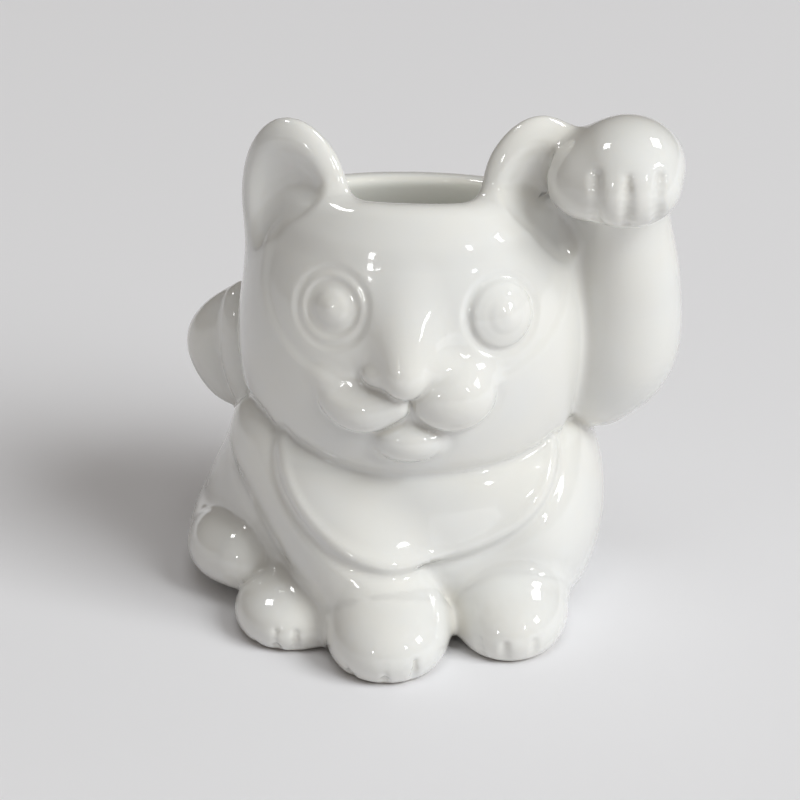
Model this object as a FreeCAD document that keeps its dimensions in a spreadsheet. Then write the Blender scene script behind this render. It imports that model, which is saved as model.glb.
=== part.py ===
import FreeCAD, Part
import os
import re

# Beckoning cat holder: a sitting cat of slip-cast, clear-glazed porcelain, hollow and open
# between its ears, so that it holds a few small things such as toothpicks or one toothbrush.
# Millimetres, +Z up. The cat looks along -Y, so its left side is +X, and the origin is the
# middle of the flat foot that it stands on. Every form is an ellipsoid, a cone or part of a
# ring, cut back to its neighbours so that they meet face to face, as luted clay does.

SIZES = {
    # torso: a squat egg leaning back, cut flat at the foot; the head sits in it at the neck
    "torsoWidth": 47.6, "torsoDepth": 43.2, "torsoHeight": 44.0, "torsoBelowNeck": 13.4,
    "torsoLean": 7.0, "neckLevel": 25.4, "neckSlope": 11.0,
    # head: an upright egg, a little forward, turned towards the raised paw; the face is
    # placed from its middle
    "headWidth": 43.2, "headDepth": 35.8, "headHeight": 50.0, "headAboveNeck": 8.6,
    "headForward": 2.5, "headTurn": 4.0,
    "muzzleWidth": 20.6, "muzzleDepth": 9.0, "muzzleHeight": 8.0, "muzzleDrop": 0.6,
    "noseWidth": 5.6, "noseDepth": 8.0, "noseHeight": 11.0, "noseRise": 4.4,
    "chinWidth": 9.0, "chinDepth": 7.6, "chinHeight": 6.0, "chinDrop": 6.6,
    "eyeSize": 8.6, "eyeProud": 0.9, "eyeSpread": 19.4, "eyeRise": 9.0,
    # cup inside the cat, and its sloping rim
    "wall": 3.0, "floorLevel": 4.0, "mouthWidth": 24.8, "mouthDepth": 16.0,
    "mouthBack": 1.7, "rimDrop": 7.4, "rimSlope": 14.0,
    # ears: upright eggs with a scooped front, leaning and turned outwards
    "earWidth": 14.8, "earDepth": 6.4, "earHeight": 12.8, "earDrop": 2.1, "earInset": 7.6,
    "earAhead": 2.5, "earLean": 6.0, "earTurn": 23.0, "earScoop": 1.2,
    # raised left arm, its wrist and its paw with the toes curled over
    "armWidth": 14.0, "armDepth": 14.0, "armLength": 33.6, "armAboveNeck": 11.2,
    "armStandoff": 4.5, "armForward": 1.2, "wristWidth": 11.6, "wristDepth": 12.6,
    "wristLength": 20.0, "wristRise": 13.4, "pawWidth": 13.8, "pawDepth": 15.4,
    "pawHeight": 12.2, "pawRise": 22.3, "pawForward": 6.6, "toeWidth": 12.0, "toeDepth": 9.4,
    "toeHeight": 9.8, "toeDrop": 2.5, "toeForward": 3.6,
    # right foreleg, slanting from the shoulder to the paw planted in the middle
    "legWidth": 16.6, "legLength": 38.0, "legLean": 48.0, "legAside": 7.8, "legInset": 8.0,
    "legBelowNeck": 12.8, "plantedWidth": 15.4, "plantedLength": 18.6, "plantedHeight": 11.6,
    "plantedReach": 1.4, "plantedAside": 1.3, "soleLevel": 3.1,
    # hind feet
    "hindWidth": 15.0, "hindLength": 18.8, "hindHeight": 11.4, "hindBack": 6.0,
    "hindInset": 10.7,
    # tail: part of a tilted ring that hugs the right flank and climbs to the back
    "tailThickness": 9.4, "tailInset": 0.3, "tailForward": 1.8, "tailAside": 1.4,
    "tailRise": 24.0, "tailStart": 112.0, "tailSweep": 92.0, "tailLevel": 7.8,
    # bib, and the bow that ties it at the right of the neck
    "bibProud": 0.9, "bibWidth": 39.0, "bibHeight": 26.6, "bibDrop": 0.9, "bibAside": 1.6,
    "bowWidth": 8.8, "bowDepth": 8.0, "bowHeight": 11.6, "bowStandoff": 2.0, "bowBack": 8.5,
    "bowRise": 1.6, "knotWidth": 8.6, "knotDepth": 7.6, "knotHeight": 17.6, "knotInset": 1.6,
    "knotBack": 6.0, "bowTurn": 12.0,
}

# Places that several pieces share, so that they move together when a size changes.
PLACES = {
    "torsoMiddle": "neckLevel - torsoBelowNeck",
    "headMiddle": "neckLevel + headAboveNeck",
    "rimLevel": "headMiddle + headHeight / 2 - rimDrop",
    "eyeLevel": "headMiddle + eyeRise",
    "muzzleLevel": "headMiddle - muzzleDrop",
    "noseLevel": "headMiddle + noseRise",
    "chinLevel": "headMiddle - chinDrop",
    "mouthForward": "headForward - mouthBack",
    "earLevel": "rimLevel - earDrop",
    "earSpread": "headWidth - 2 * earInset",
    "earForward": "headForward + earAhead",
    "armOut": "headWidth / 2 + armStandoff",
    "armLevel": "neckLevel + armAboveNeck",
    "wristLevel": "armLevel + wristRise",
    "pawLevel": "armLevel + pawRise",
    "pawAhead": "armForward + pawForward",
    "toeLevel": "pawLevel - toeDrop",
    "toeAhead": "pawAhead + toeForward",
    "legForward": "torsoDepth / 2 - legInset",
    "legLevel": "neckLevel - legBelowNeck",
    "plantedForward": "torsoDepth / 2 + plantedReach",
    "hindForward": "torsoDepth / 2 - hindBack",
    "hindSpread": "torsoWidth - 2 * hindInset",
    "tailRing": "(torsoWidth + torsoDepth) / 4 - tailInset",
    "bibLevel": "neckLevel - bibDrop",
    "bowOut": "(headWidth + torsoWidth) / 4 + bowStandoff",
    "bowBehind": "bowBack - headForward",
    "bowLevel": "neckLevel + bowRise",
    "knotOut": "(headWidth + torsoWidth) / 4 - knotInset",
    "knotBehind": "knotBack - headForward",
}

doc = FreeCAD.newDocument("BeckoningCat")
sheet = doc.addObject("Spreadsheet::Sheet", "Sizes")
for row, (alias, value) in enumerate((SIZES | PLACES).items(), start=1):
    sheet.set(f"A{row}", alias)
    sheet.set(f"B{row}", str(value) if alias in SIZES else "=" + value)
    sheet.setAlias(f"B{row}", alias)
doc.recompute()

X, Y, Z = FreeCAD.Vector(1, 0, 0), FreeCAD.Vector(0, 1, 0), FreeCAD.Vector(0, 0, 1)
REACH = "4 * torsoWidth"                   # longer than the whole cat, for cutting blocks


def bind(item, formulas):
    """Ties properties to formulas, in which a word from the sheet means its cell."""
    words = SIZES | PLACES
    for path, formula in formulas.items():
        cells = re.sub(r"[A-Za-z]\w*", lambda m: "Sizes." * (m[0] in words) + m[0], formula)
        item.setExpression(path, cells)
    return item


def place(item, middle, axis=X, turn="0"):
    """Puts an object's own origin at three formulas, turned about an axis in degrees."""
    item.Placement = FreeCAD.Placement(FreeCAD.Vector(), FreeCAD.Rotation(axis, 0))
    bind(item, {"Placement.Rotation.Angle": turn})
    return bind(item, {"Placement.Base." + c: formula for c, formula in zip("xyz", middle)})


def egg(name, middle, spans, axis=X, turn="0"):
    """An ellipsoid from its middle and its full width, depth and height."""
    item = doc.addObject("Part::Ellipsoid", name)
    halves = (f"({span}) / 2" for span in spans)
    bind(item, dict(zip(("Radius2", "Radius3", "Radius1"), halves)))
    return place(item, middle, axis, turn)


def block(name, level, slope="0"):
    """A block wider than the cat, standing on a level and sloping up towards the back."""
    item = doc.addObject("Part::Box", name)
    bind(item, {side: REACH for side in ("Length", "Width", "Height")})
    half = f"({REACH}) / 2"
    corner = (f"-{half}", f"-{half} * cos({slope})", f"{level} - {half} * sin({slope})")
    return place(item, corner, X, slope)


def fused(name, *pieces):
    item = doc.addObject("Part::MultiFuse", name)
    item.Shapes = list(pieces)
    return item


def regrouped(name, piece, middle, axis, turn):
    """The same solid, turned as a whole and moved."""
    item = doc.addObject("Part::Compound", name)
    item.Links = [piece]
    return place(item, middle, axis, turn)


def minus(name, base, *tools):
    """Cuts tools from a base one after the other; the last cut carries the name."""
    for number, tool in enumerate(tools, start=1):
        item = doc.addObject("Part::Cut", name if number == len(tools) else f"{name}_{number}")
        item.Base, item.Tool = base, tool
        base = item
    return base


below_neck = block("below_neck", f"neckLevel - ({REACH}) / cos(neckSlope)", "neckSlope")
below_ground = block("below_ground", f"-({REACH})")
above_rim = block("above_rim", "rimLevel", "-rimSlope")


def facing(across, ahead, level):
    """A place on the turned head, across and ahead of its axis."""
    side = f"({across}) * cos(headTurn) + ({ahead}) * sin(headTurn)"
    back = f"({across}) * sin(headTurn) - ({ahead}) * cos(headTurn) - headForward"
    return side, back, level


def head_form():
    """The whole head with its face, before the cup hollows it."""
    front = "headDepth / 2"
    pieces = [
        egg("skull", facing("0", "0", "headMiddle"),
            ("headWidth", "headDepth", "headHeight"), Z, "headTurn"),
        egg("muzzle", facing("0", front + " - muzzleDepth / 6", "muzzleLevel"),
            ("muzzleWidth", "muzzleDepth", "muzzleHeight"), Z, "headTurn"),
        egg("nose", facing("0", front + " - noseDepth / 6", "noseLevel"),
            ("noseWidth", "noseDepth", "noseHeight"), X, "24"),
        egg("chin", facing("0", front + " - chinDepth / 2.4", "chinLevel"),
            ("chinWidth", "chinDepth", "chinHeight")),
    ]
    on_skull = ("headDepth / 2 * sqrt(1 - ((eyeLevel - headMiddle) / (headHeight / 2)) ^ 2"
                " - (eyeSpread / headWidth) ^ 2) + eyeProud - eyeSize / 4")
    for name, way in (("right_eye", "-"), ("left_eye", "")):
        pieces.append(egg(name, facing(way + "eyeSpread / 2", on_skull, "eyeLevel"),
                          ("eyeSize", "eyeSize / 2", "eyeSize")))
    return minus("head_form", fused("head_whole", *pieces), below_neck, above_rim)


def torso_form(head_whole):
    """The whole torso with the seat for the head, before the cup hollows it."""
    spans = ("torsoWidth", "torsoDepth", "torsoHeight")
    whole = egg("torso_egg", ("0", "0", "torsoMiddle"), spans, X, "-torsoLean")
    return minus("torso_form", whole, head_whole, below_ground)


def cup():
    """The hollow: both eggs less the wall, a floor, and the oval mouth."""
    belly = egg("belly_hollow", ("0", "0", "torsoMiddle"),
                [f"{size} - 2 * wall" for size in ("torsoWidth", "torsoDepth", "torsoHeight")],
                X, "-torsoLean")
    skull = egg("skull_hollow", facing("0", "0", "headMiddle"),
                [f"{size} - 2 * wall" for size in ("headWidth", "headDepth", "headHeight")],
                Z, "headTurn")
    mouth = egg("mouth_hollow", ("0", "-mouthForward", "rimLevel"),
                ("mouthWidth", "mouthDepth", "headHeight / 2"))
    under_floor = block("under_floor", f"floorLevel - ({REACH})")
    return minus("cup_hollow", fused("hollow_whole", belly, skull, mouth), under_floor)


head_whole, hollow = head_form(), cup()
torso_whole = torso_form(head_whole)
torso = minus("torso", torso_whole, hollow)
head = minus("head", head_whole, hollow)


def ear(name, way):
    """One ear, built upright, then leant outwards and turned to face out."""
    upright = ("0", "0", "0")
    lean = f"{way}earLean"
    leaf = egg(name + "_leaf", upright, ("earWidth", "earDepth", "2 * earHeight"), Y, lean)
    scoop = egg(name + "_scoop", ("0", "-earDepth / 2 - earScoop", "0"),
                ("earWidth * 0.7", "earDepth", "earHeight * 1.5"), Y, lean)
    level = minus(name + "_level", leaf, scoop)
    spot = (f"{way}earSpread / 2", "-earForward", "earLevel")
    return minus(name, regrouped(name + "_turned", level, spot, Z, f"{way}earTurn"),
                 head, hollow)


right_ear, left_ear = ear("right_ear", "-"), ear("left_ear", "")


def raised_arm():
    pieces = [
        egg("upper_arm", ("armOut", "-armForward", "armLevel"),
            ("armWidth", "armDepth", "armLength")),
        egg("wrist", ("armOut - (armWidth - wristWidth) / 2", "-armForward * 2", "wristLevel"),
            ("wristWidth", "wristDepth", "wristLength")),
        egg("beckoning_paw", ("armOut", "-pawAhead", "pawLevel"),
            ("pawWidth", "pawDepth", "pawHeight")),
        egg("curled_toes", ("armOut", "-toeAhead", "toeLevel"),
            ("toeWidth", "toeDepth", "toeHeight")),
    ]
    whole = fused("arm_whole", *pieces)
    return minus("raised_arm", whole, torso_whole, head_whole, left_ear, hollow)


def planted_foreleg(bib_outline):
    leg = egg("leg", ("-legAside", "-legForward", "legLevel"),
              ("legWidth", "legWidth", "legLength"), FreeCAD.Vector(-1, -1, 0), "legLean")
    paw = egg("planted_paw", ("-plantedAside", "-plantedForward", "soleLevel"),
              ("plantedWidth", "plantedLength", "plantedHeight"))
    whole = fused("foreleg_whole", leg, paw)
    return minus("planted_foreleg", whole, torso_whole, head_whole, bib_outline,
                 below_ground)


def tail():
    """Part of a ring with round ends, tilted so that it climbs towards the back."""
    ring = doc.addObject("Part::Torus", "tail_ring")
    bind(ring, {"Radius1": "tailRing", "Radius2": "tailThickness / 2", "Angle3": "tailSweep"})
    pieces = [ring]
    for name, angle in (("tail_root", "0"), ("tail_tip", "tailSweep")):
        ball = doc.addObject("Part::Sphere", name)
        bind(ball, {"Radius": "tailThickness / 2"})
        pieces.append(place(ball, (f"tailRing * cos({angle})", f"tailRing * sin({angle})", "0")))
    level = place(fused("tail_level", *pieces), ("0", "0", "0"), Z, "tailStart")
    spot = ("-tailAside", "-tailForward", "tailLevel")
    tilted = regrouped("tail_tilted", level, spot, X, "tailRise")
    return minus("tail", tilted, torso_whole, below_ground)


def hind_foot(name, way, *neighbours):
    foot = egg(name + "_egg", (f"{way}hindSpread / 2", "-hindForward", "soleLevel"),
               ("hindWidth", "hindLength", "hindHeight"))
    return minus(name, foot, torso_whole, *neighbours, below_ground)


def neck_bow():
    """The tie's knot against the neck and the loop that stands out from it."""
    loop = egg("bow_loop", ("-bowOut", "bowBehind", "bowLevel"),
               ("bowWidth", "bowDepth", "bowHeight"), Z, "180 - bowTurn")
    knot = egg("bow_knot", ("-knotOut", "knotBehind", "bowLevel"),
               ("knotWidth", "knotDepth", "knotHeight"), Z, "180 - bowTurn")
    return minus("neck_bow", fused("bow_whole", loop, knot), torso_whole, head_whole)


bib_outline = egg("bib_outline", ("bibAside", "-torsoDepth / 2", "bibLevel"),
                  ("bibWidth", "torsoDepth", "bibHeight"))
proud = egg("bib_egg", ("0", "0", "torsoMiddle"),
            [f"{size} + 2 * bibProud" for size in ("torsoWidth", "torsoDepth", "torsoHeight")],
            X, "-torsoLean")
bib_whole = doc.addObject("Part::MultiCommon", "bib_whole")
bib_whole.Shapes = [proud, bib_outline]
bib = minus("bib", bib_whole, torso_whole, head_whole)

arm, foreleg, tail_piece = raised_arm(), planted_foreleg(bib_outline), tail()
subparts = [torso, head, right_ear, left_ear, arm, bib, foreleg, tail_piece,
            hind_foot("right_hind_foot", "-", foreleg, tail_piece),
            hind_foot("left_hind_foot", "", foreleg), neck_bow()]
doc.recompute()

for item in doc.Objects:
    if {"Invalid", "Error"} & set(item.State):
        raise RuntimeError(f"{item.Name} failed: {item.State}")
for item in subparts:
    shape = item.Shape
    if shape.isNull() or not shape.isValid() or not shape.Solids:
        raise RuntimeError(f"{item.Label} has no valid solid")
os.makedirs("parts", exist_ok=True)
for item in subparts:
    item.Shape.exportStep(f"parts/{item.Label}.step")
    print(f"{item.Label}: {len(item.Shape.Solids)} solid, {item.Shape.Volume / 1000:.2f} cm3")
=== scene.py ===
import bpy
import bmesh
import math
import time
import numpy as np
from mathutils import Matrix, Vector


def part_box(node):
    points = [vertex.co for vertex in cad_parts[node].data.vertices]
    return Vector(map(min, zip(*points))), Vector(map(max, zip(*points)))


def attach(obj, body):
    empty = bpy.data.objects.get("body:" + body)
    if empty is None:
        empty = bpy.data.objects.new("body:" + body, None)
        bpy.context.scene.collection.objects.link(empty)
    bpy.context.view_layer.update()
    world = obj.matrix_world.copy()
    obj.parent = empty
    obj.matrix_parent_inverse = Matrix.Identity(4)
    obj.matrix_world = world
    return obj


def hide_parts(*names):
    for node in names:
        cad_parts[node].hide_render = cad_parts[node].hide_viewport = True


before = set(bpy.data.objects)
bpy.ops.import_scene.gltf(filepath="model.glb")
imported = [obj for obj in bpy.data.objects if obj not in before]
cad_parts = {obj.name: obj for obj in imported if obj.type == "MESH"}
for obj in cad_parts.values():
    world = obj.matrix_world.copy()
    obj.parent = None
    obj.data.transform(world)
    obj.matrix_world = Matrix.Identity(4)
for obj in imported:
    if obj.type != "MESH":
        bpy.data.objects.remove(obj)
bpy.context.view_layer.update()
mm = 0.001
started = time.time()


def report(stage):
    print(f"{time.time() - started:6.1f} s  {stage}")


# The cat is one lump of clay: soft forms melted together. A rough block of the same forms gives
# the mesh, and its points are pressed onto the clay. Everything is in millimetres until the end.

def centre(node):
    low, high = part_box(node)
    return (low + high) / 2 / mm


class Egg:  # an ellipsoid, placed from the middle of a part's box

    def __init__(self, node, offset, half, *turns):
        self.middle, self.half = centre(node) + Vector(offset), Vector(half)
        self.turn = Matrix.Identity(3)
        for axis, degrees in turns:
            self.turn = Matrix.Rotation(math.radians(degrees), 3, axis) @ self.turn

    def beside(self, offset, half):  # another one, moved along this one's own axes
        other = Egg("torso", (0, 0, 0), half)
        other.turn, other.middle = self.turn, self.middle + self.turn @ Vector(offset)
        return other

    def gap(self, p):
        half = np.float32(self.half)
        q = (p - np.float32(self.middle)) @ np.array(self.turn, np.float32)
        near = np.sqrt(((q / half) ** 2).sum(1))
        return near * (near - 1) / (np.sqrt(((q / half ** 2) ** 2).sum(1)) + 1e-9)

    def outward(self, point):  # the direction straight out of the surface at a point
        q = self.turn.transposed() @ (point - self.middle)
        return (self.turn @ Vector(a / b ** 2 for a, b in zip(q, self.half))).normalized()

    def block(self, bm, grow=0):
        size = Matrix.Diagonal((*(side + grow for side in self.half), 1))
        place = Matrix.Translation(self.middle) @ self.turn.to_4x4() @ size
        bmesh.ops.create_uvsphere(bm, u_segments=40, v_segments=24, radius=1, matrix=place)


class Roll:  # a tapered roll along joints (x, y, z, radius), placed like an egg

    def __init__(self, node, *joints, steps=9):
        joints = np.array(joints, float) + [*centre(node), 0]
        ends = np.vstack([2 * joints[0] - joints[1], joints, 2 * joints[-1] - joints[-2]])
        path = []
        for a, b, c, d in zip(ends, ends[1:], ends[2:], ends[3:]):
            for t in np.linspace(0, 1, steps, endpoint=False):
                path.append(0.5 * (2 * b + (c - a) * t + (2 * a - 5 * b + 4 * c - d) * t ** 2
                                   + (3 * b - a - 3 * c + d) * t ** 3))
        self.path = np.float32(path + [joints[-1]])

    def gap(self, p, reach=5):
        thick = self.path[:, 3:] + reach
        low, high = (self.path[:, :3] - thick).min(0), (self.path[:, :3] + thick).max(0)
        close = np.flatnonzero(((p > low) & (p < high)).all(1))
        q, near = p[close], np.full(len(close), 99, np.float32)
        for a, b in zip(self.path, self.path[1:]):
            run = b[:3] - a[:3]
            t = np.clip((q - a[:3]) @ run / (run @ run), 0, 1)
            away = np.sqrt(((q - a[:3] - t[:, None] * run) ** 2).sum(1))
            near = melt(near, away - a[3] - t * (b[3] - a[3]), 0.25)
        result = np.full(len(p), reach, np.float32)
        result[close] = np.minimum(near, reach)
        return result

    def block(self, bm, grow=0):
        for x, y, z, radius in self.path[::2]:
            bmesh.ops.create_icosphere(bm, subdivisions=3, radius=radius + grow,
                                       matrix=Matrix.Translation((x, y, z)))


class Line:  # a crease or a ridge, 1 along its middle and fading out over its width

    def __init__(self, node, width, *points):
        self.width, self.roll = width, Roll(node, *[(*point, 0) for point in points], steps=3)

    def mark(self, p):
        return np.exp(-(self.roll.gap(p, 3 * self.width) / self.width) ** 2)


def melt(a, b, fillet):  # both, joined softly
    h = np.clip(0.5 + 0.5 * (b - a) / fillet, 0, 1)
    return b + (a - b) * h - fillet * h * (1 - h)


def creased(a, b, fillet, depth, width=0.9):  # joined, with a crease drawn along the join
    close = np.exp(-((a - b) / width) ** 2 - (np.minimum(a, b) / 2) ** 2)
    return melt(a, b, fillet) + depth * close


def keep(a, b, fillet):  # only what is inside both
    return -melt(-a, -b, fillet)


def ease(x):
    x = np.clip(x, 0, 1)
    return x * x * (3 - 2 * x)


torso = {"egg": Egg("torso", (0, 0.65, -2.1), (23.8, 21.15, 22), ("X", -7)),
         "haunches": [Egg("torso", (15.2, -4.5, -5.0), (7.7, 12.5, 11.5)),
                      Egg("torso", (-15.5, 2.5, -7.6), (10.9, 11.5, 9.8))],
         "haunchFillet": 4.0, "neckFillet": 0.5, "neckGroove": 0.45, "footEdge": 0.8}
foreleg = {"roll": Roll("planted_foreleg", (-7.2, 11.35, 8.75, 8.0), (-2.2, 5.85, 1.75, 8.0),
                        (2.3, 0.85, -3.25, 7.6), (5.0, -1.65, -7.25, 6.8)),
           "paw": Egg("planted_foreleg", (5.5, -5.05, -9.05), (7.6, 8.8, 5.8)),
           "pawFillet": 2.5, "fillet": 1.6, "groove": 0.25, "grooveWidth": 1.4, "toeGap": 0.4,
           "toeLines": [Line("planted_foreleg", 0.55, (x, y, -12.2), (x, y, -8.9))
                        for x, y in ((1.6, -11.35), (5.7, -12.95), (9.1, -12.15))]}
bib = {"outline": Egg("torso", (2.4, -20, 10.2), (18.2, 24, 12.9)), "proud": 0.55,
       "edge": 1.4, "drape": 3.6, "hem": 0.2, "ridgeInside": 0.8, "grooveOutside": 0.7}


def trunkClay(p):
    clay = torso["egg"].gap(p)
    for haunch in torso["haunches"]:
        clay = melt(clay, haunch.gap(p), torso["haunchFillet"])
    leg = melt(foreleg["roll"].gap(p), foreleg["paw"].gap(p), foreleg["pawFillet"])
    drape = melt(clay, leg, bib["drape"])
    clay = creased(clay, leg, foreleg["fillet"], foreleg["groove"], foreleg["grooveWidth"])
    edge = bib["outline"].gap(p) / bib["edge"]
    ridge = np.exp(-4 * (edge + bib["ridgeInside"]) ** 2)
    groove = np.exp(-4 * (edge - bib["grooveOutside"]) ** 2)
    bibbed = clay + (drape - bib["proud"] - clay) * ease(0.5 - edge)
    return bibbed - bib["hem"] * (ridge - groove)


head = {"egg": Egg("head", (0.3, 1.5, -4.7), (21.5, 18.3, 26), ("Z", 4)),
        "rim": centre("head") + Vector((0, 4.0, 13.2)), "rimSlope": 0.25, "rimFillet": 1.5}
muzzle = {"rightPuff": Roll("head", (-0.6, -16.0, -5.6, 2.3), (-4.2, -15.7, -7.0, 2.8),
                            (-7.3, -14.4, -6.4, 2.5), (-9.0, -13.4, -4.4, 1.6)),
          "leftPuff": Egg("head", (5.6, -14.0, -5.2), (5.7, 4.8, 4.8)),
          "chin": Egg("head", (0.8, -13.9, -10.9), (5.1, 4.3, 3.3)),
          "bridge": Roll("head", (0.4, -9.6, 7.5, 3.2), (0.5, -13.4, 1.8, 4.1),
                         (0.6, -16.6, -1.9, 3.1)),
          "nostrils": [Egg("head", (-2.7, -15.8, -2.2), (2.1, 2.0, 1.6)),
                       Egg("head", (3.8, -15.6, -1.9), (2.1, 2.0, 1.6))],
          "lipFillet": 0.4, "lipGroove": 0.4, "lipWidth": 0.6,
          "sharpFillet": 0.9, "softFillet": 2.2, "noseFillet": 2.4, "nostrilFillet": 1.4,
          "groove": 0.22, "grooveWidth": 0.8, "chinGroove": 0.1,
          "puffLevel": centre("head")[2] - 6, "noseLevel": centre("head")[2] - 3, "fade": 4}
eyes = {"right": (-8.5, -13.4, 5.1), "left": (12.3, -12.9, 4.5),
        "ball": 5.4, "proud": 0.35, "dent": 0.5, "dentRadius": 5.6,
        "ballFillet": 0.3, "reach": 9, "depthReach": 4,
        "rings": ((4.7, 0.6, 0.12), (3.8, 0.55, -0.14), (2.3, 0.5, 0.08), (0.0, 0.9, -0.14))}
mask = {"sides": [Egg("head", (-5.0, -16, 6.7), (12.2, 40, 10.4)),
                  Egg("head", (8.0, -16, 6.7), (12.2, 40, 10.4))],
        "depth": 0.3, "edge": 1.6, "front": -6, "belowRim": 0.5, "fade": 3}


def eyeSpots():
    for side in ("right", "left"):
        spot = centre("head") + Vector(eyes[side])
        yield spot, head["egg"].outward(spot)


def masked(clay, p):  # sunk a little all round the raised mask
    outside = np.minimum(*(side.gap(p) for side in mask["sides"]))
    front = ease((mask["front"] - p[:, 1]) / mask["fade"])
    low = ease((head["rim"][2] - mask["belowRim"] - p[:, 2]) / mask["fade"])
    return clay + mask["depth"] * ease(0.5 - outside / mask["edge"]) * front * low


def eyed(clay, p):
    for spot, out in eyeSpots():
        q = p - np.float32(spot)
        along = q @ np.float32(out)
        across = np.sqrt(np.maximum((q ** 2).sum(1) - along ** 2, 0))
        near = (np.abs(along) < eyes["depthReach"]) & (across < eyes["reach"])
        clay = clay + near * eyes["dent"] * ease(2 - 2 * across / eyes["dentRadius"])
        deep = np.float32(spot - out * (eyes["ball"] - eyes["proud"]))
        ball = np.sqrt(((p - deep) ** 2).sum(1)) - eyes["ball"]
        clay = np.where(near, melt(clay, ball, eyes["ballFillet"]), clay)
        for radius, width, depth in eyes["rings"]:
            clay = clay + near * depth * np.exp(-((across - radius) / width) ** 2)
    return clay


def puffed(clay, shape, p, level, softFillet):  # sharp below a level, soft above it
    soft = ease((p[:, 2] - level) / muzzle["fade"])
    fillet = muzzle["sharpFillet"] + (softFillet - muzzle["sharpFillet"]) * soft
    return creased(clay, shape, fillet, muzzle["groove"] * (1 - soft), muzzle["grooveWidth"])


def headClay(p):
    clay = eyed(masked(head["egg"].gap(p), p), p)
    clay = creased(clay, muzzle["chin"].gap(p), muzzle["sharpFillet"], muzzle["chinGroove"])
    puffs = creased(muzzle["rightPuff"].gap(p), muzzle["leftPuff"].gap(p),
                    muzzle["lipFillet"], muzzle["lipGroove"], muzzle["lipWidth"])
    clay = puffed(clay, puffs, p, muzzle["puffLevel"], muzzle["softFillet"])
    nose = muzzle["bridge"].gap(p)
    for nostril in muzzle["nostrils"]:
        nose = melt(nose, nostril.gap(p), muzzle["nostrilFillet"])
    clay = puffed(clay, nose, p, muzzle["noseLevel"], muzzle["noseFillet"])
    rim = p[:, 2] - head["rim"][2] + (p[:, 1] - head["rim"][1]) * head["rimSlope"]
    return keep(clay, rim, head["rimFillet"])


cup = {"belly": Egg("torso", (0, 0.3, -2.1), (20.8, 18.5, 19), ("X", -7)),
       "skull": Egg("head", (0.3, 1.5, -4.3), (18.6, 14.9, 21), ("Z", 4)),
       "mouth": Egg("head", (0.5, 3.2, 12.7), (12.4, 8.0, 13)),
       "floor": 4.0, "fillet": 3.0, "lip": 2.0}


def hollow(p):
    inside = melt(melt(cup["belly"].gap(p), cup["skull"].gap(p), cup["fillet"]),
                  cup["mouth"].gap(p), cup["fillet"])
    return keep(inside, cup["floor"] - p[:, 2], cup["fillet"])


ears = {"right_ear": Egg("right_ear", (1.2, -0.35, -3.55), (7.8, 3.2, 12.6), ("Y", -7), ("Z", -24)),
        "left_ear": Egg("left_ear", (0.3, 0.25, -2.8), (7.6, 3.3, 12.8), ("Y", 5), ("Z", 22)),
        "scoop": (0, -3.4, 0.6), "scoopHalf": (6.2, 3.1, 9.9), "scoopFillet": 1.2, "fillet": 3.0}
arm = {"roll": Roll("raised_arm", (-3.15, 4.65, -16.4, 5.2), (-0.35, 4.15, -10.9, 6.7),
                    (0.05, 4.15, -2.4, 6.45), (-0.65, 3.65, 6.6, 5.6), (-0.75, 1.15, 13.6, 5.4)),
       "paw": Egg("raised_arm", (-0.2, -2.45, 15.9), (6.8, 7.6, 5.9)),
       "toes": Egg("raised_arm", (-0.4, -5.85, 14.3), (6.2, 4.7, 4.4)),
       "thumb": Egg("raised_arm", (-4.9, -3.4, 14.2), (4.4, 4.8, 4.6)),
       "pawFillet": 1.5, "wristFillet": 2, "fillet": 1.8, "earFillet": 4.0,
       "earLevel": centre("head")[2] + 10.2, "fade": 5, "toeGap": 0.5,
       "toeLines": [Line("raised_arm", 0.8, (x, y + 1.3, 17.2), (x, y, 14.6), (x, y + 1.4, 11.6))
                    for x, y in ((-3.85, -10.0), (-0.15, -10.5), (3.4, -9.7))]}
feet = {"right_hind_foot": Egg("right_hind_foot", (0.25, 0.45, -2.0), (7.3, 8.3, 4.7)),
        "left_hind_foot": Egg("left_hind_foot", (-0.15, 0.65, -1.35), (7.1, 9.4, 5.8)),
        "fillet": 2.6, "toeGap": 0.4,
        "toeLines": [Line(node, 0.55, (x, y, -4.2), (x, y, -1.3)) for node, x, y in (
            ("left_hind_foot", -3.65, -7.65), ("left_hind_foot", -0.35, -8.55),
            ("left_hind_foot", 3.25, -7.75), ("right_hind_foot", -3.35, -5.15),
            ("right_hind_foot", -1.15, -6.95), ("right_hind_foot", 1.2, -7.4))]}
tail = {"roll": Roll("tail", (-2.5, -14.5, -4.5, 4.3), (-5.3, -11.3, -5.0, 4.4),
                     (-6.4, -6.5, -6.0, 4.1), (-6.4, 0.0, -5.2, 3.7), (-4.6, 6.0, -2.9, 3.5),
                     (0.6, 11.2, 1.2, 3.4), (8.4, 13.9, 5.8, 3.3)),
        "fillet": 1.4, "groove": 0.1}
bow = {"loop": Roll("neck_bow", (2.0, -0.25, 7.3, 1.6), (-0.9, 0.75, 2.6, 3.3),
                    (-1.9, 1.15, -0.6, 3.5), (-0.5, 0.55, -4.6, 2.8), (1.9, -0.05, -7.2, 1.6)),
       "knot": Egg("neck_bow", (2.1, -1.35, -0.2), (3.2, 3.6, 8.6), ("Y", -8)),
       "loopFillet": 0.6, "fillet": 0.8}


def armClay(p):
    paw = melt(arm["paw"].gap(p), arm["toes"].gap(p), arm["pawFillet"])
    paw = melt(paw, arm["thumb"].gap(p), arm["pawFillet"])
    for toe in arm["toeLines"]:
        paw = paw + arm["toeGap"] * toe.mark(p)
    return melt(arm["roll"].gap(p), paw, arm["wristFillet"])


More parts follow.
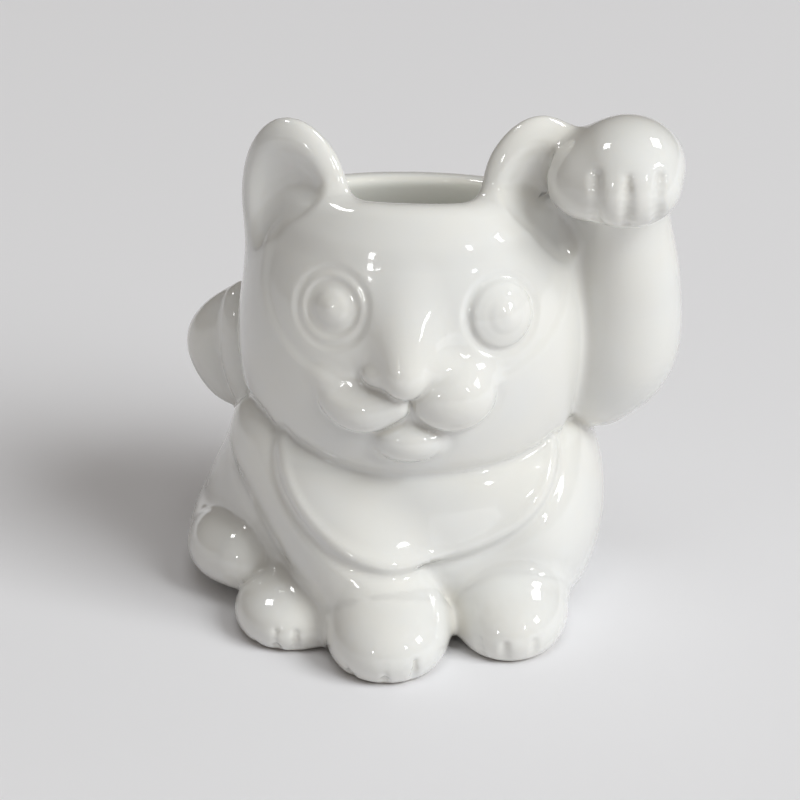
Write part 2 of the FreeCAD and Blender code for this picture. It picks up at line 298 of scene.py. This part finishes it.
def lump(p):
    clay = creased(trunkClay(p), headClay(p), torso["neckFillet"], torso["neckGroove"])
    for name in ("right_ear", "left_ear"):
        scoop = ears[name].beside(ears["scoop"], ears["scoopHalf"])
        ear = keep(ears[name].gap(p), -scoop.gap(p), ears["scoopFillet"])
        clay = melt(clay, ear, ears["fillet"])
    high = ease((p[:, 2] - arm["earLevel"]) / arm["fade"])
    clay = melt(clay, armClay(p), arm["fillet"] + (arm["earFillet"] - arm["fillet"]) * high)
    for name in ("right_hind_foot", "left_hind_foot"):
        clay = melt(clay, feet[name].gap(p), feet["fillet"])
    clay = creased(clay, tail["roll"].gap(p), tail["fillet"], tail["groove"])
    tie = melt(bow["loop"].gap(p), bow["knot"].gap(p), bow["loopFillet"])
    clay = melt(clay, tie, bow["fillet"])
    for paws in (foreleg, feet):
        for toe in paws["toeLines"]:
            clay = clay + paws["toeGap"] * toe.mark(p)
    clay = keep(clay, -hollow(p), cup["lip"])
    return keep(clay, -p[:, 2], torso["footEdge"])


# The mesh: sizes of its voxels, and where it is made twice as fine.
grain = {"fine": 0.45, "quick": 0.8, "rough": 0.8, "cutter": 0.6, "step": 0.02, "limit": 0.6,
         "relax": 0.5, "faceFront": -12, "faceLow": 24.5, "faceHigh": 49, "faceMiddle": 1,
         "faceHalf": 15.5, "hemMiddle": -0.3, "hemHalf": 1.3, "hemFront": -8, "hemHigh": 27,
         "toeHalf": 1.4}


def newObject(name, bm):
    mesh = bpy.data.meshes.new(name)
    bm.to_mesh(mesh)
    bm.free()
    piece = bpy.data.objects.new(name, mesh)
    bpy.context.scene.collection.objects.link(piece)
    return piece


def applied(piece):  # the object again, with its modifiers made real
    graph = bpy.context.evaluated_depsgraph_get()
    mesh = bpy.data.meshes.new_from_object(piece.evaluated_get(graph))
    piece.modifiers.clear()
    piece.data = mesh
    return piece


def voxels(piece, size):
    remesh = piece.modifiers.new("voxels", "REMESH")
    remesh.mode, remesh.voxel_size = "VOXEL", size
    return applied(piece)


def combined(name, piece, tool, operation):  # a third object from two
    result = bpy.data.objects.new(name, piece.data)
    bpy.context.scene.collection.objects.link(result)
    cut = result.modifiers.new("cut", "BOOLEAN")
    cut.operation, cut.object, cut.solver = operation, tool, "MANIFOLD"
    return applied(result)


def drop(*objects):
    for piece in objects:
        bpy.data.objects.remove(piece)


def sliced(bm, point, normal):  # cuts away what lies on the normal's side of a plane
    bmesh.ops.bisect_plane(bm, geom=bm.verts[:] + bm.edges[:] + bm.faces[:], plane_co=point,
                           plane_no=normal, clear_outer=True)
    bmesh.ops.holes_fill(bm, edges=[edge for edge in bm.edges if edge.is_boundary], sides=0)


def lumpOf(name, *forms, grow=0, size=grain["rough"]):
    bm = bmesh.new()
    for form in forms:
        form.block(bm, grow)
    return voxels(newObject(name, bm), size)


def headBlock(grow=0):
    bm = bmesh.new()
    head["egg"].block(bm, grow)
    sliced(bm, head["rim"], (0, head["rimSlope"], 1))
    return newObject("headBlock", bm)


def wholeBlock(fineness):
    outside = lumpOf("outside", torso["egg"], *torso["haunches"], ears["right_ear"],
                     ears["left_ear"], arm["roll"], arm["paw"], arm["toes"], arm["thumb"],
                     muzzle["rightPuff"], muzzle["leftPuff"], muzzle["chin"], muzzle["bridge"],
                     foreleg["roll"], foreleg["paw"], feet["right_hind_foot"],
                     feet["left_hind_foot"], tail["roll"], bow["loop"], bow["knot"])
    skull = headBlock()
    hole = lumpOf("hole", cup["belly"], cup["skull"], cup["mouth"])
    bm = bmesh.new()
    bm.from_mesh(hole.data)
    sliced(bm, (0, 0, cup["floor"]), (0, 0, -1))
    floored = newObject("floored", bm)
    solid = combined("solid", outside, skull, "UNION")
    open_ = combined("open", solid, floored, "DIFFERENCE")
    bm = bmesh.new()
    bm.from_mesh(open_.data)
    sliced(bm, (0, 0, 0), (0, 0, -1))
    drop(outside, skull, hole, floored, solid, open_)
    return voxels(newObject("clay", bm), fineness)


def coordinates(mesh):
    points = np.empty(len(mesh.vertices) * 3, np.float32)
    mesh.vertices.foreach_get("co", points)
    return points.reshape(-1, 3)


def gradient(p, step=grain["step"]):
    clay = lump(p)
    moves = np.float32(step) * np.eye(3, dtype=np.float32)
    return clay, np.stack([(lump(p + move) - clay) / step for move in moves], 1)


def press(p, rounds, limit=grain["limit"]):  # onto the clay
    for _ in range(rounds):
        clay, slope = gradient(p)
        move = slope * (clay / np.maximum((slope ** 2).sum(1), 0.05))[:, None]
        length = np.sqrt((move ** 2).sum(1)) + 1e-9
        p = p - move * np.minimum(1, limit / length)[:, None]
    return p


def relaxed(mesh, p, share=grain["relax"]):  # each point moved towards its neighbours
    ends = np.empty(len(mesh.edges) * 2, np.int32)
    mesh.edges.foreach_get("vertices", ends)
    a, b = ends.reshape(-1, 2).T
    both, other = np.concatenate([a, b]), np.concatenate([b, a])
    count = np.bincount(both, minlength=len(p))
    mean = np.stack([np.bincount(both, p[other, axis], len(p)) / count for axis in range(3)], 1)
    return (p + share * (mean - p)).astype(np.float32)


def detailed(p):
    x, y, z = p.T
    face = (y < grain["faceFront"]) & (z > grain["faceLow"]) & (z < grain["faceHigh"])
    face &= np.abs(x - grain["faceMiddle"]) < grain["faceHalf"]
    fine = np.abs(bib["outline"].gap(p) - grain["hemMiddle"]) < grain["hemHalf"]
    fine &= (y < grain["hemFront"]) & (z < grain["hemHigh"])
    fine |= face
    for paws in (arm, foreleg, feet):
        for toe in paws["toeLines"]:
            fine |= toe.roll.gap(p, 2) < grain["toeHalf"]
    return fine


clay = wholeBlock(grain["fine"])
report(f"block of {len(clay.data.vertices)} points")
points = press(coordinates(clay.data), 3)
points = press(relaxed(clay.data, points), 1)
clay.data.vertices.foreach_set("co", points.ravel())
bm = bmesh.new()
bm.from_mesh(clay.data)
bm.verts.index_update()
fine = detailed(points)
edges = [edge for edge in bm.edges if fine[edge.verts[0].index] and fine[edge.verts[1].index]]
bmesh.ops.subdivide_edges(bm, edges=edges, cuts=1, use_grid_fill=True)
bmesh.ops.triangulate(bm, faces=[face for face in bm.faces if len(face.verts) > 4])
bm.to_mesh(clay.data)
bm.free()
points = coordinates(clay.data)
for _ in range(3):
    points = press(relaxed(clay.data, points), 1)
points = press(points, 2)
clay.data.vertices.foreach_set("co", points.ravel())
off = np.abs(lump(points))
report(f"{len(points)} points pressed, off by {off.mean():.4f} mm, at most {off.max():.3f}")
print("clay box", points.min(0), points.max(0))


# How far each form is grown before it cuts its piece out, and how far the hosts are shrunk.
cuts = {"hosts": -0.4, "neck_bow": 0.5, "tail": 0.6, "right_ear": 1.2, "left_ear": 1.2,
        "raised_arm": 0.8, "planted_foreleg": 0.5, "right_hind_foot": 0.5,
        "left_hind_foot": 0.5, "neckLevel": 25.4, "neckTilt": 11, "spare": 200}


def cutters():
    skull = headBlock(cuts["hosts"])
    body = lumpOf("body", torso["egg"], *torso["haunches"], grow=cuts["hosts"])
    hosts = combined("hosts", skull, body, "UNION")
    bm = bmesh.new()
    bib["outline"].block(bm)
    forms = {"neck_bow": (bow["loop"], bow["knot"]),
             "tail": (tail["roll"],),
             "right_ear": (ears["right_ear"],),
             "left_ear": (ears["left_ear"],),
             "raised_arm": (arm["roll"], arm["paw"], arm["toes"], arm["thumb"]),
             "planted_foreleg": (foreleg["roll"], foreleg["paw"]),
             "right_hind_foot": (feet["right_hind_foot"],),
             "left_hind_foot": (feet["left_hind_foot"],)}
    for name, shapes in forms.items():
        shape = lumpOf("shape", *shapes, grow=cuts[name], size=grain["cutter"])
        yield name, combined("cutter", shape, hosts, "DIFFERENCE")
        drop(shape)
        if name == "raised_arm":
            outline = newObject("outline", bm)
            yield "bib", combined("cutter", outline, hosts, "DIFFERENCE")
            drop(outline)
    drop(skull, body, hosts)


def aboveNeck():
    level = Matrix.Translation((0, 0, cuts["neckLevel"]))
    tilt = Matrix.Rotation(math.radians(cuts["neckTilt"]), 4, "X")
    raised = Matrix.Translation((0, 0, cuts["spare"] / 2))
    bm = bmesh.new()
    bmesh.ops.create_cube(bm, size=cuts["spare"], matrix=level @ tilt @ raised)
    return newObject("aboveNeck", bm)


def parted(clay):  # the pieces by the names of their nodes
    above = aboveNeck()
    parts, rest = {}, clay
    for name, tool in cutters():
        if name == "bib":
            lower = combined("cutter", tool, above, "DIFFERENCE")
            drop(tool)
            tool = lower
        parts[name] = combined(name, rest, tool, "INTERSECT")
        left = combined("rest", rest, tool, "DIFFERENCE")
        drop(rest, tool)
        rest = left
        report(f"{name}: {len(parts[name].data.polygons)} faces")
    parts["head"] = combined("head", rest, above, "INTERSECT")
    parts["torso"] = combined("torso", rest, above, "DIFFERENCE")
    drop(rest, above)
    return parts


# the last three entries place the painted light that glows on the cup's inner walls
surface = {"filmFaces": 500, "filmVolume": 0.005, "skin": 0.03, "facing": 0.5,
           "creaseDepth": 0.9, "paintedGlowDepth": 1, "paintedGlowBelowRim": 12, "paintedGlowFade": 10}


def shells(bm):
    unseen = set(bm.faces)
    for first in bm.faces:
        if first not in unseen:
            continue
        unseen.discard(first)
        shell, front = [first], [first]
        while front:
            for edge in front.pop().edges:
                beside = [face for face in edge.link_faces if face in unseen]
                unseen.difference_update(beside)
                shell += beside
                front += beside
        yield shell


def withoutFilms(piece):  # where two cuts coincide they leave films with nothing between them
    bm = bmesh.new()
    bm.from_mesh(piece.data)
    films = []
    for shell in list(shells(bm)):
        if len(shell) < surface["filmFaces"]:
            volume = sum(face.calc_area() * face.normal.dot(face.calc_center_median())
                         for face in shell) / 3
            if abs(volume) < surface["filmVolume"]:
                films += shell
    bmesh.ops.delete(bm, geom=films, context="FACES")
    bm.to_mesh(piece.data)
    bm.free()
    report(f"{piece.name}: {len(films)} faces of films taken off")


def onPoints(mesh, name, values):
    layer = mesh.attributes.new(name, "FLOAT", "POINT")
    layer.data.foreach_set("value", values.astype(np.float32))


def glazeSmooth(piece):  # normals straight from the clay, so that no seam shows between parts
    mesh = piece.data
    p = coordinates(mesh)
    clay, slope = gradient(p)
    slope /= np.sqrt((slope ** 2).sum(1))[:, None] + 1e-9
    corners = np.empty(len(mesh.loops), np.int32)
    mesh.loops.foreach_get("vertex_index", corners)
    starts = np.empty(len(mesh.polygons), np.int32)
    mesh.polygons.foreach_get("loop_start", starts)
    flat = np.empty(len(mesh.polygons) * 3, np.float32)
    mesh.polygons.foreach_get("normal", flat)
    flat = flat.reshape(-1, 3)
    size = np.diff(np.append(starts, len(corners)))
    onSkin = np.minimum.reduceat((np.abs(clay) < surface["skin"])[corners], starts)
    facing = (np.add.reduceat(slope[corners], starts) * flat).sum(1) / size
    skin = np.repeat(onSkin & (facing > surface["facing"]), size)
    normals = np.where(skin[:, None], slope[corners], np.repeat(flat, size, axis=0))
    # crease mask: it darkens the creases, partly as the tint of pooled glaze and partly as painted
    # shade
    crease = 1 - lump(p + slope * surface["creaseDepth"]) / surface["creaseDepth"]
    onPoints(mesh, "crease", np.clip(crease, 0, 1))
    # painted light: the glow mask covers the cup's inner walls and fades out more than 12 mm below the
    # rim
    high = ease((p[:, 2] - head["rim"][2] + surface["paintedGlowBelowRim"]) / surface["paintedGlowFade"])
    onPoints(mesh, "glow", ease(surface["paintedGlowDepth"] - hollow(p)) * high)
    mesh.transform(Matrix.Scale(mm, 4))
    mesh.polygons.foreach_set("use_smooth", np.ones(len(mesh.polygons), bool))
    mesh.normals_split_custom_set(normals.tolist())


class Wire:  # a socket that Python's own arithmetic joins to new maths nodes

    def __init__(self, tree, socket):
        self.tree, self.socket = tree, socket

    def node(self, kind, inputs=(), output=0, **settings):
        made = self.tree.nodes.new(kind)
        for setting, value in settings.items():
            setattr(made, setting, value)
        for name, value in dict(inputs).items():
            if isinstance(value, Wire):
                self.tree.links.new(value.socket, made.inputs[name])
            else:
                made.inputs[name].default_value = value
        return Wire(self.tree, made.outputs[output])

    def maths(self, operation, *values):
        return self.node("ShaderNodeMath", enumerate(values), operation=operation)

    def __add__(self, other):
        return self.maths("ADD", self, other)

    def __mul__(self, other):
        return self.maths("MULTIPLY", self, other)

    def __sub__(self, other):
        return self.maths("SUBTRACT", self, other)

    def __rsub__(self, other):
        return self.maths("SUBTRACT", other, self)

    __radd__, __rmul__ = __add__, __mul__

    def between(self, low, high):  # 0 below low, 1 above high, eased
        return self.node("ShaderNodeMapRange", {"Value": self, "From Min": low, "From Max": high},
                         interpolation_type="SMOOTHSTEP")

    def mixed(self, first, second):
        return self.node("ShaderNodeMix", {"Factor": self, "A": first, "B": second}, 2,
                         data_type="RGBA")


glaze = {"white": (0.80, 0.795, 0.76, 1), "cool": (0.78, 0.785, 0.77, 1),
         # the crease colour below is partly the tint of pooled glaze and partly painted shade
         "pooledAndShaded": (0.64, 0.62, 0.565, 1), "bisque": (0.70, 0.66, 0.60, 1),
         # the first colour below is painted light, emitted on the cup's inner walls
         "glow": (0.185, 0.185, 0.165, 1), "poolingAndShade": 0.8, "patches": 70,
         "gloss": 0.07, "glossSpread": 0.05, "glossPatches": 400, "bareRough": 0.6,
         "footLevel": 0.35 * mm, "footFade": 0.15 * mm,
         "waves": 110, "ripples": 420, "rippleShare": 0.1, "waveShare": 0.6,
         "bump": 0.12, "bumpDistance": 0.0006}
# the emission below lets the painted glow show inside the cup
glazeSockets = {"Emission Strength": 1, "Coat Roughness": 0.015, "Coat IOR": 1.5, "IOR": 1.5,
                "Subsurface Weight": 0.12, "Subsurface Radius": (1, 0.9, 0.75),
                "Subsurface Scale": 0.0012}


def porcelain():
    material = bpy.data.materials.new("glazed porcelain")
    material.use_nodes = True
    tree = material.node_tree
    shader = tree.nodes["Principled BSDF"]
    place = Wire(tree, tree.nodes.new("ShaderNodeTexCoord").outputs["Object"])
    crease = place.node("ShaderNodeAttribute", (), 2, attribute_name="crease")
    inside = place.node("ShaderNodeAttribute", (), 2, attribute_name="glow")
    level = place.node("ShaderNodeSeparateXYZ", {"Vector": place}, 2)

    def noise(scale, detail=2.0):
        return place.node("ShaderNodeTexNoise", {"Vector": place, "Scale": scale, "Detail": detail})

    bare = 1 - level.between(glaze["footLevel"], glaze["footLevel"] + glaze["footFade"])
    # painted shade in the creases, mixed with the tint of pooled glaze
    pooledAndShaded = crease.between(0.15, 0.75) * glaze["poolingAndShade"]
    white = noise(glaze["patches"], 3).between(0.35, 0.7).mixed(glaze["white"], glaze["cool"])
    colour = bare.mixed(pooledAndShaded.mixed(white, glaze["pooledAndShaded"]), glaze["bisque"])
    dull = noise(glaze["glossPatches"]).between(0.4, 0.75) * glaze["glossSpread"]
    rough = glaze["gloss"] + dull + bare * glaze["bareRough"]
    waves = noise(glaze["waves"]) * glaze["waveShare"] + noise(glaze["ripples"]) * glaze["rippleShare"]
    bump = place.node("ShaderNodeBump", {"Height": waves, "Strength": glaze["bump"],
                                         "Distance": glaze["bumpDistance"]})
    coat = 1 - bare
    glow = inside.mixed((0, 0, 0, 1), glaze["glow"])  # painted light: the inside of the cup glows, standing in for daylight through the thin wall
    for name, wire in (("Base Color", colour), ("Roughness", rough), ("Coat Weight", coat),
                       ("Normal", bump), ("Emission Color", glow)):
        tree.links.new(wire.socket, shader.inputs[name])
    for name, value in glazeSockets.items():
        shader.inputs[name].default_value = value
    return material


skin = porcelain()
for node, piece in parted(clay).items():
    withoutFilms(piece)
    glazeSmooth(piece)
    piece.name = "cat" + "".join(word.title() for word in node.split("_"))
    piece.data.materials.clear()
    piece.data.materials.append(skin)
    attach(piece, "root")
    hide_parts(node)
report("parts glazed")


def plain(name, colour, roughness):
    material = bpy.data.materials.new(name)
    material.use_nodes = True
    shader = material.node_tree.nodes["Principled BSDF"]
    shader.inputs["Base Color"].default_value = (*colour, 1)
    shader.inputs["Roughness"].default_value = roughness
    return material


def lamp(name, azimuth, elevation, away, width, height, power, colour=(1, 1, 1), shines=True):
    light = bpy.data.lights.new(name, "AREA")
    light.shape, light.size, light.size_y = "RECTANGLE", width, height
    light.energy, light.color = power, colour
    holder = bpy.data.objects.new(name, light)
    out = direction(azimuth, elevation)
    holder.location = studio["middle"] + out * away
    holder.rotation_euler = out.to_track_quat("Z", "Y").to_euler()
    holder.visible_glossy, holder.visible_diffuse = not shines, shines
    bpy.context.scene.collection.objects.link(holder)


def direction(azimuth, elevation):  # 0, 0 is straight in front, and azimuth grows to the right
    a, e = math.radians(azimuth), math.radians(elevation)
    return Vector((math.sin(a) * math.cos(e), -math.cos(a) * math.cos(e), math.sin(e)))


studio = {"floor": (0.82, 0.82, 0.845), "sky": (1.0, 0.92, 0.84), "skyStrength": 0.22,
          "middle": Vector((0, 0, 0.03)), "floorHalf": 6, "floorRough": 0.9,
          "panes": ((-25, 19, 3.5, 6), (46, 27, 3, 9), (78, 27, 9, 12), (126, 44, 15, 13),
                    (-110, 56, 10, 10)),
          "paneGlow": 13, "paneDistance": 2}
view = {"azimuth": 4, "elevation": 27, "distance": 0.469, "lens": 170, "sensor": 36,
        "aim": Vector((-0.0015, 0, 0.0226))}

bm = bmesh.new()
bmesh.ops.create_grid(bm, x_segments=1, y_segments=1, size=studio["floorHalf"])
floor = newObject("floor", bm)
floor.data.materials.append(plain("pale floor", studio["floor"], studio["floorRough"]))
world = bpy.data.worlds.new("studio")
world.use_nodes = True
background = world.node_tree.nodes["Background"]
background.inputs["Color"].default_value = (*studio["sky"], 1)
background.inputs["Strength"].default_value = studio["skyStrength"]
bpy.context.scene.world = world
lamp("window", 62, 40, 2.95, 1.6, 1.6, 72, (0.98, 1, 1))
lamp("ceiling", 0, 76, 2.2, 1.0, 1.0, 7, (0.98, 1, 1))
for azimuth, elevation, *sides in studio["panes"]:  # small bright things the glaze mirrors
    away = studio["paneDistance"]
    width, height = (2 * away * math.tan(math.radians(side / 2)) for side in sides)
    power = studio["paneGlow"] * math.pi * width * height
    lamp("pane", azimuth, elevation, away, width, height, power, shines=False)

camera = bpy.data.cameras.new("camera")
camera.lens, camera.sensor_width = view["lens"], view["sensor"]
holder = bpy.data.objects.new("camera", camera)
back = direction(view["azimuth"], view["elevation"])
holder.location = view["aim"] + back * view["distance"]
holder.rotation_euler = back.to_track_quat("Z", "Y").to_euler()
bpy.context.scene.collection.objects.link(holder)
bpy.context.scene.camera = holder
bpy.context.scene.view_settings.view_transform = "Standard"

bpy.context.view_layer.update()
report("scene made")
